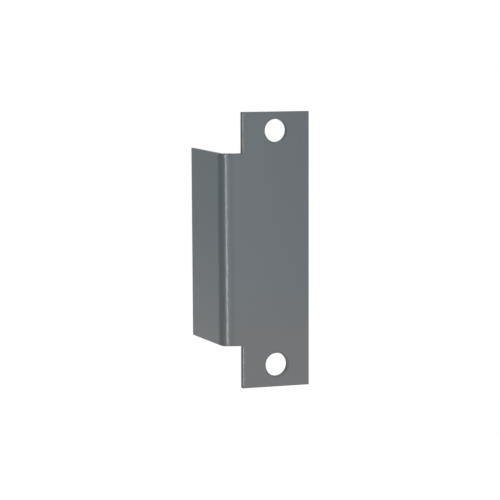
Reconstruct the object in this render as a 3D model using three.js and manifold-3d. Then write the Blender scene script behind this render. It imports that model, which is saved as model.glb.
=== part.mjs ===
// Electric strike filler plate: one blank of painted sheet steel that closes the cut-out left in a
// door frame when an electric strike is taken out.
//
// A flat face plate carries a screw hole near each end. Over the middle of its height the sheet runs
// on past one long edge and folds back through a right angle into a flange, which closes the notch in
// the face of the frame.
//
// Millimetres, +Z up. The face plate's front looks along -Y, and the flange runs back along +Y on the
// -X side. The origin is the centre of the face plate's back, the face that lies on the door frame.

import * as THREE from 'three';
import { mergeVertices } from 'three/addons/utils/BufferGeometryUtils.js';
import Module from 'manifold-3d';

const INCH = 25.4;

// The sheet: 12 gauge steel, folded over a 3/16 in radius.
const SHEET_THICKNESS = 2.66;
const BEND_INNER_RADIUS = 0.1875 * INCH;
const BEND_STEPS = 20;

// The face plate fills a cut-out of 4 7/8 by 1 1/4 in, less a running clearance all round.
const PLATE_HEIGHT = 4.875 * INCH - 0.8;
const PLATE_WIDTH = 1.25 * INCH - 0.25;

// The screw holes are 13/32 in across, on 4 1/8 in centres, and the pair sits a little above the
// middle of the plate.
const HOLE_DIAMETER = 0.40625 * INCH;
const HOLE_SPACING = 4.125 * INCH;
const HOLE_LIFT = 0.75;
const HOLE_SIDES = 48;

// The folded wing is 3 3/8 in high, and a little above the middle too. It reaches this far past the
// face plate's edge, out to the flange's outer face, and the flange ends 1.7 in behind the front of
// the plate.
const WING_HEIGHT = 3.375 * INCH;
const WING_LIFT = 0.4;
const WING_REACH = 9.1;
const FLANGE_DEPTH = 1.7 * INCH;

// How far the strip and the cutter each run past the finished part.
const CUT_MARGIN = 5;

// three.js draws an arc in a shape with two straight steps for each of its curve segments.
const STEPS_PER_SEGMENT = 2;

const PAINT_COLOUR = 0x6c7478;
const PAINT_ROUGHNESS = 0.45;

const plateLeft = -PLATE_WIDTH / 2;
const plateRight = PLATE_WIDTH / 2;
const plateTop = PLATE_HEIGHT / 2;
const wingTop = WING_LIFT + WING_HEIGHT / 2;
const wingBottom = WING_LIFT - WING_HEIGHT / 2;
const frontY = -SHEET_THICKNESS;
const flangeOuterX = plateLeft - WING_REACH;
const flangeInnerX = flangeOuterX + SHEET_THICKNESS;
const flangeEndY = frontY + FLANGE_DEPTH;

const wasm = await Module();
wasm.setup();

// The folded sheet seen from above: flange, bend and face plate in one strip of even thickness.
function sheetProfile() {
  const outerRadius = BEND_INNER_RADIUS + SHEET_THICKNESS;
  const bendX = flangeOuterX + outerRadius;
  const bendY = frontY + outerRadius;
  const profile = new THREE.Shape();
  profile.moveTo(flangeInnerX, flangeEndY);
  profile.lineTo(flangeOuterX, flangeEndY);
  profile.lineTo(flangeOuterX, bendY);
  profile.absarc(bendX, bendY, outerRadius, Math.PI, 1.5 * Math.PI, false);
  profile.lineTo(plateRight, frontY);
  profile.lineTo(plateRight, 0);
  profile.lineTo(bendX, 0);
  profile.absarc(bendX, bendY, BEND_INNER_RADIUS, 1.5 * Math.PI, Math.PI, true);
  profile.closePath();
  return profile;
}

// The blank's outline seen from the front: the tall face plate, the shorter wing, two screw holes.
function blankOutline() {
  const wingLeft = flangeOuterX - CUT_MARGIN;
  const outline = new THREE.Shape();
  outline.moveTo(plateRight, -plateTop);
  outline.lineTo(plateRight, plateTop);
  outline.lineTo(plateLeft, plateTop);
  outline.lineTo(plateLeft, wingTop);
  outline.lineTo(wingLeft, wingTop);
  outline.lineTo(wingLeft, wingBottom);
  outline.lineTo(plateLeft, wingBottom);
  outline.lineTo(plateLeft, -plateTop);
  outline.closePath();
  for (const side of [-1, 1]) {
    const centreZ = HOLE_LIFT + (side * HOLE_SPACING) / 2;
    const hole = new THREE.Path();
    hole.absarc(0, centreZ, HOLE_DIAMETER / 2, 0, 2 * Math.PI, true);
    outline.holes.push(hole);
  }
  return outline;
}

// The long strip: the profile drawn out to the full height of the face plate and a little over.
function foldedStrip() {
  const depth = PLATE_HEIGHT + 2 * CUT_MARGIN;
  const options = { depth, curveSegments: BEND_STEPS / STEPS_PER_SEGMENT, bevelEnabled: false };
  const strip = new THREE.ExtrudeGeometry(sheetProfile(), options);
  strip.translate(0, 0, -depth / 2);
  return strip;
}

// The cutter: the outline drawn from in front of the face plate to behind the end of the flange.
function outlineCutter() {
  const depth = FLANGE_DEPTH + 2 * CUT_MARGIN;
  const options = { depth, curveSegments: HOLE_SIDES / STEPS_PER_SEGMENT, bevelEnabled: false };
  const cutter = new THREE.ExtrudeGeometry(blankOutline(), options);
  cutter.rotateX(Math.PI / 2);
  cutter.translate(0, flangeEndY + CUT_MARGIN, 0);
  return cutter;
}

// A closed geometry as a solid that can be cut.
function solidOf(geometry) {
  const bare = geometry.clone();
  bare.deleteAttribute('normal');
  bare.deleteAttribute('uv');
  const merged = mergeVertices(bare);
  const mesh = new wasm.Mesh({
    numProp: 3,
    vertProperties: Float32Array.from(merged.attributes.position.array),
    triVerts: Uint32Array.from(merged.index.array),
  });
  return new wasm.Manifold(mesh);
}

// A solid back as a geometry that three.js can show.
function geometryOf(solid) {
  const mesh = solid.getMesh();
  const geometry = new THREE.BufferGeometry();
  geometry.setAttribute('position', new THREE.BufferAttribute(mesh.vertProperties, 3));
  geometry.setIndex(new THREE.BufferAttribute(mesh.triVerts, 1));
  const flat = geometry.toNonIndexed();
  flat.computeVertexNormals();
  return flat;
}

// The one piece of the object: the strip, cut to the outline of the blank.
function fillerPlate() {
  const solid = solidOf(foldedStrip()).intersect(solidOf(outlineCutter()));
  const material = new THREE.MeshStandardMaterial({
    color: PAINT_COLOUR,
    roughness: PAINT_ROUGHNESS,
    metalness: 0,
  });
  const mesh = new THREE.Mesh(geometryOf(solid), material);
  mesh.name = 'filler_plate';
  return mesh;
}

const strikeFiller = new THREE.Group();
strikeFiller.name = 'strike_filler';
strikeFiller.add(fillerPlate());

export default strikeFiller;
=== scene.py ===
import math
from functools import partial

import bpy
from mathutils import Matrix, Vector, geometry


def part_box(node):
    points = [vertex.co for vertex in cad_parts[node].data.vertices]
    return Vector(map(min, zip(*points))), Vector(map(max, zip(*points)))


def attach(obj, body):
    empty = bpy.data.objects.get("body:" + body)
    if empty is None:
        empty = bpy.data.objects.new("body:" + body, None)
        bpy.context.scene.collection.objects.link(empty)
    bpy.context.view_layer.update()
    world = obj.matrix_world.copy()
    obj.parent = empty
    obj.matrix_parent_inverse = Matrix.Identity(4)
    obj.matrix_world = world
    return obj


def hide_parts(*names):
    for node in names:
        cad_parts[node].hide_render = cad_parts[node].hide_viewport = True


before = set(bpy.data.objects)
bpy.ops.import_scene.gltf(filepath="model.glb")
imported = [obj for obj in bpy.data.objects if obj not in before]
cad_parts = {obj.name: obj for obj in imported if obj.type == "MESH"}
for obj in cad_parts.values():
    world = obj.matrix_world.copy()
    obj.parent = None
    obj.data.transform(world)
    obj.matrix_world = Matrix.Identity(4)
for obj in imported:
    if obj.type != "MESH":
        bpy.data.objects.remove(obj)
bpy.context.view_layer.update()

# Electric strike filler plate. The look of the one folded sheet: rolled edges, punched holes, the
# small distortions at the ends of the bend, and satin grey paint. Lengths are in millimetres up to
# the point where the mesh is written, and in the CAD model's frame.

MM = 0.001
low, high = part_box("filler_plate")
SHEET = -low.y / MM
PLATE_WIDTH = 31.5
PLATE_HEIGHT = (high.z - low.z) / MM
WING_HEIGHT = 85.725
WING_LIFT = 0.4
FLANGE_OUTER_X = low.x / MM
FLANGE_END_Y = high.y / MM
BEND_RADIUS = SHEET + 4.7625
BEND_STEPS = 32
HOLE_SIDES = 96
HOLE_SPACING = 104.775
HOLE_LIFT = 0.75

# The holes, each with its centre and radius. The punch left the lower one a little to the right, and
# a little large.
HOLES = [(0.37, HOLE_LIFT - HOLE_SPACING / 2, 5.24), (0.04, HOLE_LIFT + HOLE_SPACING / 2, 5.14)]

# The press folds the blank a little out of true. It squeezes the sheet out at the foot of the bend
# and pulls it in at the top. Both die out over a reach along the bend, and on either side of a turn
# part of the way round it.
FOLD_TILT = math.radians(0.25)
FOOT_SWELL = 0.19
FOOT_REACH = 3.0
FOOT_TURN = math.radians(60)
TOP_DIP = 0.16
TOP_REACH = 2.1
TOP_TURN = math.radians(45)
HUMP_SPREAD = 0.35

# The flange's free top corner is drawn up, and more so on the outside. Near the bend the inside of
# its top edge is dragged down instead. The plate's bottom edge slants by the skew to either side.
FLANGE_RISE = 0.15
BURR = 0.4
TOP_LEAN = 0.24
FOOT_SKEW = 0.08

front_y = -SHEET
plate_left = -PLATE_WIDTH / 2
plate_right = PLATE_WIDTH / 2
plate_top = PLATE_HEIGHT / 2
wing_top = WING_LIFT + WING_HEIGHT / 2
wing_bottom = WING_LIFT - WING_HEIGHT / 2
bend_x = FLANGE_OUTER_X + BEND_RADIUS
bend_y = front_y + BEND_RADIUS
bend_length = BEND_RADIUS * math.pi / 2
flange_length = FLANGE_END_Y - bend_y
flat_end = bend_x - bend_length - flange_length
end_skew = math.tan(FOLD_TILT) * WING_HEIGHT / 2


def across(s, z):
    """How far round the bend a point of the flat blank lies, and its place along the bend's line."""
    run = (bend_x - s) * math.cos(FOLD_TILT) - (z - WING_LIFT) * math.sin(FOLD_TILT)
    line = (bend_x - s) * math.sin(FOLD_TILT) + (z - WING_LIFT) * math.cos(FOLD_TILT)
    return run, line


def hump(turn, crest):
    """A smooth hump over the turn of the bend: 1 at its crest, dying out on either side."""
    return math.exp(-(((turn - crest) / HUMP_SPREAD) ** 2))


def fold(s, w, z):
    """The folded place of a point of the flat blank: s across it, w down through the sheet, z up."""
    run, line = across(s, z)
    if run <= 0:
        return Vector((s, front_y + w, z))
    turn = min(run / BEND_RADIUS, math.pi / 2)
    past = max(run - bend_length, 0.0)
    foot = max(0.0, 1 - (z - wing_bottom) / FOOT_REACH)
    top = max(0.0, 1 - (wing_top - z) / TOP_REACH)
    radius = BEND_RADIUS - w - TOP_DIP * top * top * hump(turn, TOP_TURN)
    out = radius * math.sin(turn)
    back = bend_y - radius * math.cos(turn) + past
    deep, along = w / SHEET, past / flange_length
    burr = BURR * along * (1 - deep)
    lean = TOP_LEAN * (turn / (math.pi / 2)) ** 3 * (1 - along) * deep
    line += top * (burr - lean) - FOOT_SWELL * foot * foot * hump(turn, FOOT_TURN)
    x = bend_x - out * math.cos(FOLD_TILT) - line * math.sin(FOLD_TILT)
    up = WING_LIFT + line * math.cos(FOLD_TILT) - out * math.sin(FOLD_TILT)
    return Vector((x, back, up))


def facing(s, z):
    """The way the front of the sheet looks at a point of the flat blank."""
    turn = min(max(across(s, z)[0] / BEND_RADIUS, 0.0), math.pi / 2)
    side = math.sin(turn)
    return Vector((-side * math.cos(FOLD_TILT), -math.cos(turn), -side * math.sin(FOLD_TILT)))


# The parts of an edge: the flat face beside it, the rolled front, a hole's rim, the punched wall and
# the back. The punch leaves rims and walls rough, by these shares. The flat rows lie this far in from
# the edge, and let the mesh follow the dip at the top of the bend. The wall rows lie at these shares
# of the wall's depth.
FLAT, ROLL, RIM, WALL, BACK = range(5)
# These shares also darken the paint on rims and walls: partly the torn steel, partly painted shade
# inside the holes.
ROUGH_CUT = {FLAT: 0.0, ROLL: 0.0, RIM: 0.3, WALL: 0.6, BACK: 0.0}
FLAT_ROWS = [2.2, 1.9, 1.6, 1.3]
WALL_ROWS = [0.3, 0.65, 1.0]
BACK_STEPS = 4
EDGE_BACK_RADIUS = 0.14
HOLE_BACK_RADIUS = 0.16


def edge_profile(arcs, back_radius):
    """A punched edge in section, from the front face to the back, as (inset, depth, part) points.

    arcs lists the rolled front: (length, slope at its end in degrees, steps, part). A straight wall
    and a small round lead on to the back face.
    """
    points, inset, depth, slope = [(0.0, 0.0, ROLL)], 0.0, 0.0, 0.0
    for length, end, steps, part in arcs:
        for i in range(steps):
            middle = math.radians(slope + (end - slope) * (i + 0.5) / steps)
            inset -= math.cos(middle) * length / steps
            depth += math.sin(middle) * length / steps
            points.append((inset, depth, part))
        slope = end
    points = [(a - inset, b, part) for a, b, part in points]
    wall_end = SHEET - back_radius
    points += [(0.0, depth + (wall_end - depth) * way, WALL) for way in WALL_ROWS]
    for i in range(1, BACK_STEPS + 1):
        turn = math.pi / 2 * i / BACK_STEPS
        a, b = back_radius * (1 - math.cos(turn)), back_radius * math.sin(turn)
        points.append((a, wall_end + b, BACK))
    return points


ROLLED_ARCS = [(0.3, 20, 5, ROLL), (0.1, 42, 2, ROLL), (0.66, 52, 5, ROLL), (0.2, 88, 4, ROLL)]
PIERCED_ARCS = [(0.55, 24, 5, RIM), (0.25, 60, 3, RIM), (0.15, 88, 3, WALL)]
rolled = [(inset, 0.0, FLAT) for inset in FLAT_ROWS] + edge_profile(ROLLED_ARCS, EDGE_BACK_RADIUS)
pierced = edge_profile(PIERCED_ARCS, HOLE_BACK_RADIUS)

# The blank's corners in order, each with its radius and the inward ways of the edges that meet
# there. A notch corner is hollow. Last comes how deeply the edge that follows is rolled over: the
# punch bit unevenly, and most deeply down the edges beside the notches.
CORNERS = [
    ((plate_right, -plate_top + FOOT_SKEW), 0.2, (0, 1), (-1, 0), False, 0.25),
    ((plate_right, plate_top), 0.2, (-1, 0), (0, -1), False, 0.45),
    ((plate_left, plate_top), 0.2, (0, -1), (1, 0), False, 1.0),
    ((plate_left, wing_top), 0.4, (1, 0), (0, -1), True, 0.75),
    ((flat_end - end_skew, wing_top + FLANGE_RISE), 0.15, (0, -1), (1, 0), False, 0.2),
    ((flat_end + end_skew, wing_bottom), 0.15, (1, 0), (0, 1), False, 0.2),
    ((plate_left, wing_bottom), 0.4, (0, 1), (1, 0), True, 1.0),
    ((plate_left, -plate_top - FOOT_SKEW), 0.2, (1, 0), (0, 1), False, 0.35),
]
TOP_LEFT, TOP_NOTCH, FLANGE_FOOT = 2, 3, 5
CORNER_STEPS = 8

# An outer corner grows rounder as it is drawn in. The top left one is bitten deeper than its edges.
CORNER_SPREAD = 0.5
CORNER_BITE = 0.6

# How deeply the edge is rolled over where the foot of the bend meets the wing.
FOOT_ROLL = 0.3


def bend_points(z):
    """Points across the bend at one height of the flat blank, from the face plate to the flange."""
    rise = (z - WING_LIFT) * math.sin(FOLD_TILT)
    runs = [bend_length * i / BEND_STEPS for i in range(BEND_STEPS + 1)]
    return [Vector((bend_x - (run + rise) / math.cos(FOLD_TILT), z)) for run in runs]


def outline(inset):
    """The blank's outline drawn in by inset, as (s, z) points."""
    points = []
    for number, ((s, z), radius, first, second, hollow, _) in enumerate(CORNERS):
        first, second = Vector(first), Vector(second)
        for i in range(CORNER_STEPS + 1):
            turn = math.pi / 2 * i / CORNER_STEPS
            way = first * math.cos(turn) + second * math.sin(turn)
            if hollow:
                centre = Vector((s, z)) - (first + second) * radius
                points.append(centre + way * (radius + inset))
            else:
                curve = radius + CORNER_SPREAD * inset
                centre = Vector((s, z)) + (first + second) * (inset + curve)
                points.append(centre - way * curve)
        if number == TOP_NOTCH:
            points += bend_points(z - inset)
        if number == FLANGE_FOOT:
            points += reversed(bend_points(z + inset))
    return points


def rolls():
    """How deeply the edge is rolled over at each point of the outline."""
    shares = []
    for number, corner in enumerate(CORNERS):
        before, after = CORNERS[number - 1][-1], corner[-1]
        if number == FLANGE_FOOT:
            after = before
        if number == TOP_NOTCH + 1:
            before = after
        for i in range(CORNER_STEPS + 1):
            way = i / CORNER_STEPS
            bite = CORNER_BITE * math.sin(math.pi * way) if number == TOP_LEFT else 0.0
            shares.append(before + (after - before) * way + bite)
        if number in (TOP_NOTCH, FLANGE_FOOT):
            end = CORNERS[TOP_NOTCH + 1][-1] if number == TOP_NOTCH else FOOT_ROLL
            shares += [after + (end - after) * i / BEND_STEPS for i in range(BEND_STEPS + 1)]
    return shares


def edge_loops(flat_loop, profile, shares):
    """One loop of (s, depth, z) points for each point of the profile, its roll scaled by shares."""
    loops = []
    for inset, depth, part in profile:
        loop = []
        for share, edge, set_in in zip(shares, flat_loop(0.0), flat_loop(inset)):
            scale = share if part == ROLL else 1.0
            s, z = edge.lerp(set_in, scale)
            loop.append(Vector((s, depth * scale, z)))
        loops.append(loop)
    return loops


def bend_lines():
    """Pairs of places in an outline that the lines along the bend join, top and bottom."""
    top = (TOP_NOTCH + 1) * (CORNER_STEPS + 1)
    bottom = (FLANGE_FOOT + 1) * (CORNER_STEPS + 1) + 2 * BEND_STEPS + 1
    return [(top + i, bottom - i) for i in range(BEND_STEPS + 1)]


def ring(centre_x, centre_z, hole_radius, inset):
    """A screw hole's edge, set back into the sheet by inset, as (s, z) points."""
    points = []
    for i in range(HOLE_SIDES):
        turn = 2 * math.pi * i / HOLE_SIDES
        radius = hole_radius + inset
        x, z = centre_x + radius * math.cos(turn), centre_z - radius * math.sin(turn)
        points.append(Vector((x, z)))
    return points


# How the faces are filled: only inside their outlines, with points this close taken as one.
INSIDE_ONLY = 1
WELD = 1e-5


class SheetMesh:
    """Vertices, faces, normals and paint values of the folded sheet."""

    def __init__(self):
        self.places, self.normals, self.worn, self.cut, self.faces = [], [], [], [], []

    def strip(self, loops, profile, shares):
        """Joins the loops of an edge, and returns its first and last rows of vertices."""
        count, rows = len(loops[0]), []
        for loop in loops:
            rows.append(range(len(self.places), len(self.places) + count))
            self.places += [fold(*point) for point in loop]
        last = len(profile) - 1
        parts = [part for _, _, part in profile]
        first, crest = parts.index(ROLL), max(1, parts.count(ROLL) - 1)
        for k, row in enumerate(rows):
            part = parts[k]
            for u in range(count):
                flat = facing(loops[k][u].x, loops[k][u].z)
                if k in (0, last):
                    self.normals.append(flat if k == 0 else -flat)
                else:
                    along = self.places[row[(u + 1) % count]] - self.places[row[u - 1]]
                    down = self.places[rows[k + 1][u]] - self.places[rows[k - 1][u]]
                    self.normals.append(down.cross(along).normalized())
                worn = math.sin(math.pi * (k - first) / crest) * shares[u]
                self.worn.append(worn if part == ROLL else 0.0)
                self.cut.append(ROUGH_CUT[part])
        for k in range(last):
            for u in range(count):
                v = (u + 1) % count
                self.faces.append((rows[k][u], rows[k + 1][u], rows[k + 1][v], rows[k][v]))
        return rows[0], rows[last]

    def skin(self, loops, rows, front):
        """Fills the face between the loops, with an edge along each line of the bend."""
        flat, index, owner, edges = [], [], [], []
        for number, (loop, row) in enumerate(zip(loops, rows)):
            start = len(flat)
            flat += [point.xz for point in loop]
            index += row
            owner += [number] * len(loop)
            edges += [(start + i, start + (i + 1) % len(loop)) for i in range(len(loop))]
        edges += bend_lines()
        filled = geometry.delaunay_2d_cdt(flat, edges, [], INSIDE_ONLY, WELD)
        places, _, faces, origins, _, _ = filled
        for face in faces:
            loops_met = {owner[origins[i][0]] for i in face}
            if len(loops_met) == 1 and 0 not in loops_met:
                continue  # this one would cover a hole
            corners = [index[origins[i][0]] for i in face]
            a, b, c = (places[i] for i in face)
            spin = (b - a).cross(c - a)
            self.faces.append(tuple(corners if (spin > 0) == front else reversed(corners)))


def filler_plate():
    """The whole folded sheet, in metres, with the paint values of its edges."""
    sheet = SheetMesh()
    shares, even = rolls(), [1.0] * HOLE_SIDES
    outer = edge_loops(outline, rolled, shares)
    holes = [edge_loops(partial(ring, *hole), pierced, even) for hole in HOLES]
    rows = [sheet.strip(outer, rolled, shares)]
    rows += [sheet.strip(hole, pierced, even) for hole in holes]
    for side, front in ((0, True), (-1, False)):
        loops = [outer[side]] + [hole[side] for hole in holes]
        sheet.skin(loops, [row[side] for row in rows], front)
    mesh = bpy.data.meshes.new("painted_plate")
    mesh.from_pydata([p * MM for p in sheet.places], [], sheet.faces)
    mesh.shade_smooth()
    mesh.normals_split_custom_set_from_vertices(sheet.normals)
    for name, values in (("edge", sheet.worn), ("punched", sheet.cut)):
        layer = mesh.attributes.new(name, "FLOAT", "POINT")
        layer.data.foreach_set("value", values)
    plate = bpy.data.objects.new("painted_plate", mesh)
    bpy.context.scene.collection.objects.link(plate)
    return plate


plate = filler_plate()
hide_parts("filler_plate")
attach(plate, "root")


# Node helpers. An input is a socket, or a plain number or colour.


def wire(tree, value, socket):
    if isinstance(value, bpy.types.NodeSocket):
        tree.links.new(value, socket)
    else:
        socket.default_value = value


def maths(tree, operation, first, second=0.0):
    node = tree.nodes.new("ShaderNodeMath")
    node.operation = operation
    wire(tree, first, node.inputs[0])
    wire(tree, second, node.inputs[1])
    return node.outputs[0]


def ramp(tree, value, low_from, high_from, low_to=0.0, high_to=1.0):
    """Goes smoothly from low_to to high_to while value goes from low_from to high_from."""
    node = tree.nodes.new("ShaderNodeMapRange")
    node.interpolation_type = "SMOOTHSTEP"
    for socket, given in zip(node.inputs, (value, low_from, high_from, low_to, high_to)):
        wire(tree, given, socket)
    return node.outputs[0]


def blend(tree, factor, first, second):
    node = tree.nodes.new("ShaderNodeMix")
    node.data_type = "RGBA"
    wire(tree, factor, node.inputs["Factor"])
    wire(tree, first, node.inputs["A"])
    wire(tree, second, node.inputs["B"])
    return node.outputs["Result"]


def noise(tree, places, scale, detail, stretch=(1.0, 1.0, 1.0)):
    mapping = tree.nodes.new("ShaderNodeMapping")
    mapping.inputs["Scale"].default_value = stretch
    tree.links.new(places, mapping.inputs["Vector"])
    node = tree.nodes.new("ShaderNodeTexNoise")
    tree.links.new(mapping.outputs[0], node.inputs["Vector"])
    node.inputs["Scale"].default_value = scale
    node.inputs["Detail"].default_value = detail
    return node.outputs[0]


def attribute(tree, name):
    node = tree.nodes.new("ShaderNodeAttribute")
    node.attribute_name = name
    return node.outputs["Fac"]


def separated(tree, vector):
    node = tree.nodes.new("ShaderNodeSeparateXYZ")
    tree.links.new(vector, node.inputs[0])
    return node.outputs


def bump(tree, height, distance, under=None):
    node = tree.nodes.new("ShaderNodeBump")
    node.inputs["Distance"].default_value = distance
    node.inputs["Strength"].default_value = 1.0
    tree.links.new(height, node.inputs["Height"])
    if under is not None:
        tree.links.new(under, node.inputs["Normal"])
    return node.outputs[0]


# The paint's colours. The right grey is painted shade toward the right edge, and the foot grey is a
# painted warm floor bounce toward the foot; their ramps, in metres, say where.
GREY, PALER_GREY = (0.103, 0.131, 0.144, 1), (0.107, 0.135, 0.148, 1)
PAINTED_SHADE_RIGHT_GREY, PAINTED_SHADE_RIGHT_RAMP = (0.096, 0.121, 0.137, 1), (-0.018, 0.014)
PAINTED_WARM_BOUNCE_FOOT_GREY, PAINTED_WARM_BOUNCE_FOOT_RAMP = (0.113, 0.126, 0.132, 1), (-0.010, -0.050)
FLECK_GREY = (0.150, 0.172, 0.186, 1)
THIN_GREY = (0.165, 0.185, 0.198, 1)
# The torn grey is partly the torn steel's own darkness, partly painted shade inside the holes.
TORN_AND_SHADED_GREY = (0.042, 0.051, 0.057, 1)

# The noises, each with its scale in cells to the metre, its detail, and any stretch. A ramp says
# which values of a noise it runs between, and what they give. Heights are in metres.
CLOUD_NOISE = (45.0, 3.0)
FLECK_NOISE, FLECK_RAMP = (2600.0, 1.0), (0.62, 0.74, 0.0, 0.25)
THIN_NOISE, THIN_RAMP = (700.0, 2.0), (0.4, 0.6, 0.1, 0.35)
TORN_AND_SHADED_NOISE, TORN_AND_SHADED_RAMP = (1500.0, 2.0), (0.4, 0.7, 0.5, 0.9)
WIPED_NOISE, ROUGHNESS_RAMP = (90.0, 3.0, (1.0, 1.0, 0.4)), (0.3, 0.7, 0.21, 0.25)
PEEL_NOISE, PEEL_HEIGHT = (950.0, 2.0), 0.0000035
GRAIN_NOISE, GRAIN_HEIGHT = (5200.0, 1.0), 0.0000015
TEAR_NOISE, TEAR_HEIGHT = (1100.0, 3.0, (1, 0.12, 1)), 0.00006
TORN_ROUGHNESS = 0.35
PAINT_IOR = 1.5


def paint_colour(tree, places, edge, punched):
    """Clouded grey with fine pale flecks, darkened to the right by painted shade and warmed toward the
    foot by a painted warm floor bounce. It is thin over the rolled edges, and dark where punched: partly
    the torn steel, partly painted shade inside the holes."""
    across_plate, _, up_plate = separated(tree, places)
    colour = blend(tree, noise(tree, places, *CLOUD_NOISE), GREY, PALER_GREY)
    # Painted shade darkens the paint toward the right edge, and a painted warm floor bounce tints it
    # toward the foot.
    colour = blend(tree, ramp(tree, across_plate, *PAINTED_SHADE_RIGHT_RAMP), colour, PAINTED_SHADE_RIGHT_GREY)
    colour = blend(tree, ramp(tree, up_plate, *PAINTED_WARM_BOUNCE_FOOT_RAMP), colour, PAINTED_WARM_BOUNCE_FOOT_GREY)
    flecks = ramp(tree, noise(tree, places, *FLECK_NOISE), *FLECK_RAMP)
    colour = blend(tree, flecks, colour, FLECK_GREY)
    patchy = ramp(tree, noise(tree, places, *THIN_NOISE), *THIN_RAMP)
    colour = blend(tree, maths(tree, "MULTIPLY", edge, patchy), colour, THIN_GREY)
    # Dark on the punched rims and walls: partly the torn steel, partly painted shade inside the holes.
    torn_and_shaded = ramp(tree, noise(tree, places, *TORN_AND_SHADED_NOISE), *TORN_AND_SHADED_RAMP)
    return blend(tree, maths(tree, "MULTIPLY", punched, torn_and_shaded), colour, TORN_AND_SHADED_GREY)


def paint_surface(tree, places, punched):
    """A fine orange peel with a finer grain on it, and tear marks through the sheet where punched."""
    peel = bump(tree, noise(tree, places, *PEEL_NOISE), PEEL_HEIGHT)
    grain = bump(tree, noise(tree, places, *GRAIN_NOISE), GRAIN_HEIGHT, under=peel)
    tears = noise(tree, places, *TEAR_NOISE)
    return bump(tree, maths(tree, "MULTIPLY", punched, tears), TEAR_HEIGHT, under=grain)


def grey_paint():
    """Sprayed satin enamel."""
    material = bpy.data.materials.new("painted_steel")
    material.use_nodes = True
    tree = material.node_tree
    shader = tree.nodes["Principled BSDF"]
    places = tree.nodes.new("ShaderNodeTexCoord").outputs["Object"]
    edge, punched = attribute(tree, "edge"), attribute(tree, "punched")
    rough = ramp(tree, noise(tree, places, *WIPED_NOISE), *ROUGHNESS_RAMP)
    rough = maths(tree, "ADD", rough, maths(tree, "MULTIPLY", punched, TORN_ROUGHNESS))
    tree.links.new(rough, shader.inputs["Roughness"])
    tree.links.new(paint_colour(tree, places, edge, punched), shader.inputs["Base Color"])
    tree.links.new(paint_surface(tree, places, punched), shader.inputs["Normal"])
    shader.inputs["IOR"].default_value = PAINT_IOR
    return material


plate.data.materials.append(grey_paint())


# A plain pale floor, metres below the plate, which is held up in front of a white ground. It neither
# lights the plate nor is mirrored in it.
FLOOR_DROP = 1.2
FLOOR_REACH = 6
FLOOR_GREY = (0.8, 0.8, 0.8, 1)
FLOOR_ROUGHNESS = 0.9
FLOOR_EMISSION = 0.55


def pale_floor():
    mesh = bpy.data.meshes.new("floor")
    ways = [(-1, -1), (1, -1), (1, 1), (-1, 1)]
    places = [(x * FLOOR_REACH, y * FLOOR_REACH, low.z - FLOOR_DROP) for x, y in ways]
    mesh.from_pydata(places, [], [(0, 1, 2, 3)])
    floor = bpy.data.objects.new("floor", mesh)
    bpy.context.scene.collection.objects.link(floor)
    material = bpy.data.materials.new("pale_floor")
    material.use_nodes = True
    shader = material.node_tree.nodes["Principled BSDF"]
    shader.inputs["Base Color"].default_value = FLOOR_GREY
    shader.inputs["Roughness"].default_value = FLOOR_ROUGHNESS
    shader.inputs["Emission Color"].default_value = (1, 1, 1, 1)
    shader.inputs["Emission Strength"].default_value = FLOOR_EMISSION
    mesh.materials.append(material)
    floor.visible_glossy = False
    floor.visible_diffuse = False


pale_floor()


# The studio. A turn is an angle in degrees from straight ahead of the plate's front, positive to its
# left, and a height is an angle above the level. A band rises from its first number to its second
# and falls from its third to its last.

# How bright the walls are at each turn: a broad soft light in front, dim to the sides, and cool
# behind on the left. They brighten with height, from the low share of these levels to the high one.
LEVELS = [
    (-180, 0.89), (-135, 0.89), (-108, 0.30), (-85, 0.20), (-60, 0.58), (-36, 1.40), (-10, 1.56),
    (14, 1.32), (36, 0.80), (56, 0.48), (78, 0.12), (94, 0.03), (108, 0.03), (122, 0.10), (140, 0.44),
    (154, 0.74), (180, 0.89),
]
BRIGHTEST = max(level for _, level in LEVELS)
COOL_FROM, COOL = 122, (0.885, 0.98, 1.0)
WALL_LOW, WALL_HIGH = -40.0, 60.0
LOW_SHARE, HIGH_SHARE = 0.45, 1.1

# The glow that comes up from the floor, from just below the level down, and a warm patch in front.
FLOOR_GLOW, GLOW_FROM, GLOW_FULL = (0.42, 0.36, 0.36), -5, -9
BOUNCE, BOUNCE_HEIGHTS, BOUNCE_TURNS = (0.75, 0.52, 0.42), (-24, -15, -10, -6), (-70, -40, 10, 40)

# The lamps on the left: heights, turns, power, and whether the lamp leans. They are a narrow strip,
# its brighter foot, a dim skirt beside it, and a small spot above it. A leaning lamp is upright at
# LEAN_LEVEL and moves by LEAN degrees of turn for each degree of height.
STRIP = (66.0, 68.0, 71.8, 73.8)
LAMPS = [
    ((-15, -10, -1, 3), STRIP, 9.5, True),
    ((-17, -13, -9, -6.5), STRIP, 24.0, True),
    ((-20, -13, 3, 10), (28.0, 52.0, 61.0, 68.0), 1.1, True),
    ((0, 3, 12, 16), (68.0, 70.0, 76.0, 78.0), 16.5, False),
]
LEAN = 0.9
LEAN_LEVEL = -5.5


def band(tree, value, start, full, last, end):
    """1 from full to last, fading out to start and to end."""
    rising, falling = ramp(tree, value, start, full), ramp(tree, value, last, end, 1.0, 0.0)
    return maths(tree, "MULTIPLY", rising, falling)


def patch(tree, height, turn, heights, turns):
    """1 over a patch of the studio: a band of heights by a band of turns."""
    return maths(tree, "MULTIPLY", band(tree, height, *heights), band(tree, turn, *turns))


def scaled(tree, colour, factor):
    node = tree.nodes.new("ShaderNodeVectorMath")
    node.operation = "SCALE"
    wire(tree, colour, node.inputs[0])
    wire(tree, factor, node.inputs["Scale"])
    return node.outputs[0]


def added(tree, first, second):
    node = tree.nodes.new("ShaderNodeVectorMath")
    wire(tree, first, node.inputs[0])
    wire(tree, second, node.inputs[1])
    return node.outputs[0]


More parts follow.
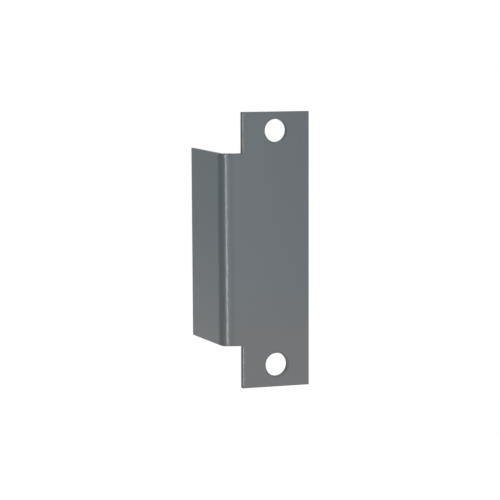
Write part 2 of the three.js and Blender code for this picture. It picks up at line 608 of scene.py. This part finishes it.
def wall_light(tree, turn, height):
    """The walls all round, by turn and height."""
    walls = tree.nodes.new("ShaderNodeValToRGB")
    walls.color_ramp.interpolation = "EASE"
    stops = walls.color_ramp.elements
    while len(stops) < len(LEVELS):
        stops.new(0.5)
    for stop, (angle, level) in zip(stops, LEVELS):
        stop.position = angle / 360 + 0.5
        tint = COOL if angle >= COOL_FROM else (1, 1, 1)
        stop.color = [part * level / BRIGHTEST for part in tint] + [1]
    around = maths(tree, "ADD", maths(tree, "DIVIDE", turn, 360.0), 0.5)
    tree.links.new(around, walls.inputs[0])
    low_level, high_level = LOW_SHARE * BRIGHTEST, HIGH_SHARE * BRIGHTEST
    return scaled(tree, walls.outputs[0], ramp(tree, height, WALL_LOW, WALL_HIGH, low_level, high_level))


def lamp_light(tree, turn, height):
    """The sum of the lamps."""
    lean = maths(tree, "MULTIPLY", maths(tree, "SUBTRACT", height, LEAN_LEVEL), LEAN)
    leant = maths(tree, "SUBTRACT", turn, lean)
    total = 0.0
    for heights, turns, power, leans in LAMPS:
        lit = patch(tree, height, leant if leans else turn, heights, turns)
        total = maths(tree, "ADD", total, maths(tree, "MULTIPLY", lit, power))
    return scaled(tree, (1.0, 1.0, 1.0), total)


def studio():
    """Soft studio light all round, and a plain white ground for the camera to look at."""
    world = bpy.data.worlds.new("studio")
    bpy.context.scene.world = world
    world.use_nodes = True
    tree = world.node_tree
    tree.nodes.clear()
    x, y, z = separated(tree, tree.nodes.new("ShaderNodeTexCoord").outputs["Generated"])
    left, ahead = maths(tree, "MULTIPLY", x, -1.0), maths(tree, "MULTIPLY", y, -1.0)
    turn = maths(tree, "MULTIPLY", maths(tree, "ARCTAN2", left, ahead), 180 / math.pi)
    height = maths(tree, "MULTIPLY", maths(tree, "ARCSINE", z), 180 / math.pi)

    light = wall_light(tree, turn, height)
    light = added(tree, light, scaled(tree, FLOOR_GLOW, ramp(tree, height, GLOW_FROM, GLOW_FULL)))
    bounce = patch(tree, height, turn, BOUNCE_HEIGHTS, BOUNCE_TURNS)
    light = added(tree, light, scaled(tree, BOUNCE, bounce))
    light = added(tree, light, lamp_light(tree, turn, height))

    studio_light = tree.nodes.new("ShaderNodeBackground")
    tree.links.new(light, studio_light.inputs["Color"])
    ground = tree.nodes.new("ShaderNodeBackground")
    ground.inputs["Color"].default_value = (1, 1, 1, 1)
    seen = tree.nodes.new("ShaderNodeLightPath").outputs["Is Camera Ray"]
    mix = tree.nodes.new("ShaderNodeMixShader")
    tree.links.new(seen, mix.inputs[0])
    tree.links.new(studio_light.outputs[0], mix.inputs[1])
    tree.links.new(ground.outputs[0], mix.inputs[2])
    tree.links.new(mix.outputs[0], tree.nodes.new("ShaderNodeOutputWorld").inputs[0])


studio()

# The camera: how far it stands to the flange's side, how high, and how it is rolled, in degrees, then
# its distance and how far the view is off its aim, the middle of the plate's back, in metres.
VIEW_AZIMUTH, VIEW_ELEVATION, VIEW_ROLL = 20.033, 5.495, -0.143
VIEW_DISTANCE, VIEW_RIGHT, VIEW_ABOVE = 1.0614, 0.010659, 0.000329
SENSOR_MM, LENS_MM = 36.0, 171.08
NEAREST, FARTHEST = 0.05, 50.0


def camera():
    """Looks at the plate from the flange's side, a little above it."""
    azimuth, elevation, roll = (math.radians(a) for a in (VIEW_AZIMUTH, VIEW_ELEVATION, VIEW_ROLL))
    flat = math.cos(elevation)
    forward = Vector((math.sin(azimuth) * flat, math.cos(azimuth) * flat, -math.sin(elevation)))
    level = Vector((math.cos(azimuth), -math.sin(azimuth), 0.0))
    rise = level.cross(forward)
    right = level * math.cos(roll) + rise * math.sin(roll)
    up = rise * math.cos(roll) - level * math.sin(roll)
    data = bpy.data.cameras.new("camera")
    data.sensor_width, data.lens = SENSOR_MM, LENS_MM
    data.clip_start, data.clip_end = NEAREST, FARTHEST
    made = bpy.data.objects.new("camera", data)
    bpy.context.scene.collection.objects.link(made)
    made.matrix_world = Matrix((right, up, -forward)).transposed().to_4x4()
    made.location = -forward * VIEW_DISTANCE - right * VIEW_RIGHT - up * VIEW_ABOVE
    bpy.context.scene.camera = made


camera()
bpy.context.scene.view_settings.view_transform = "Standard"
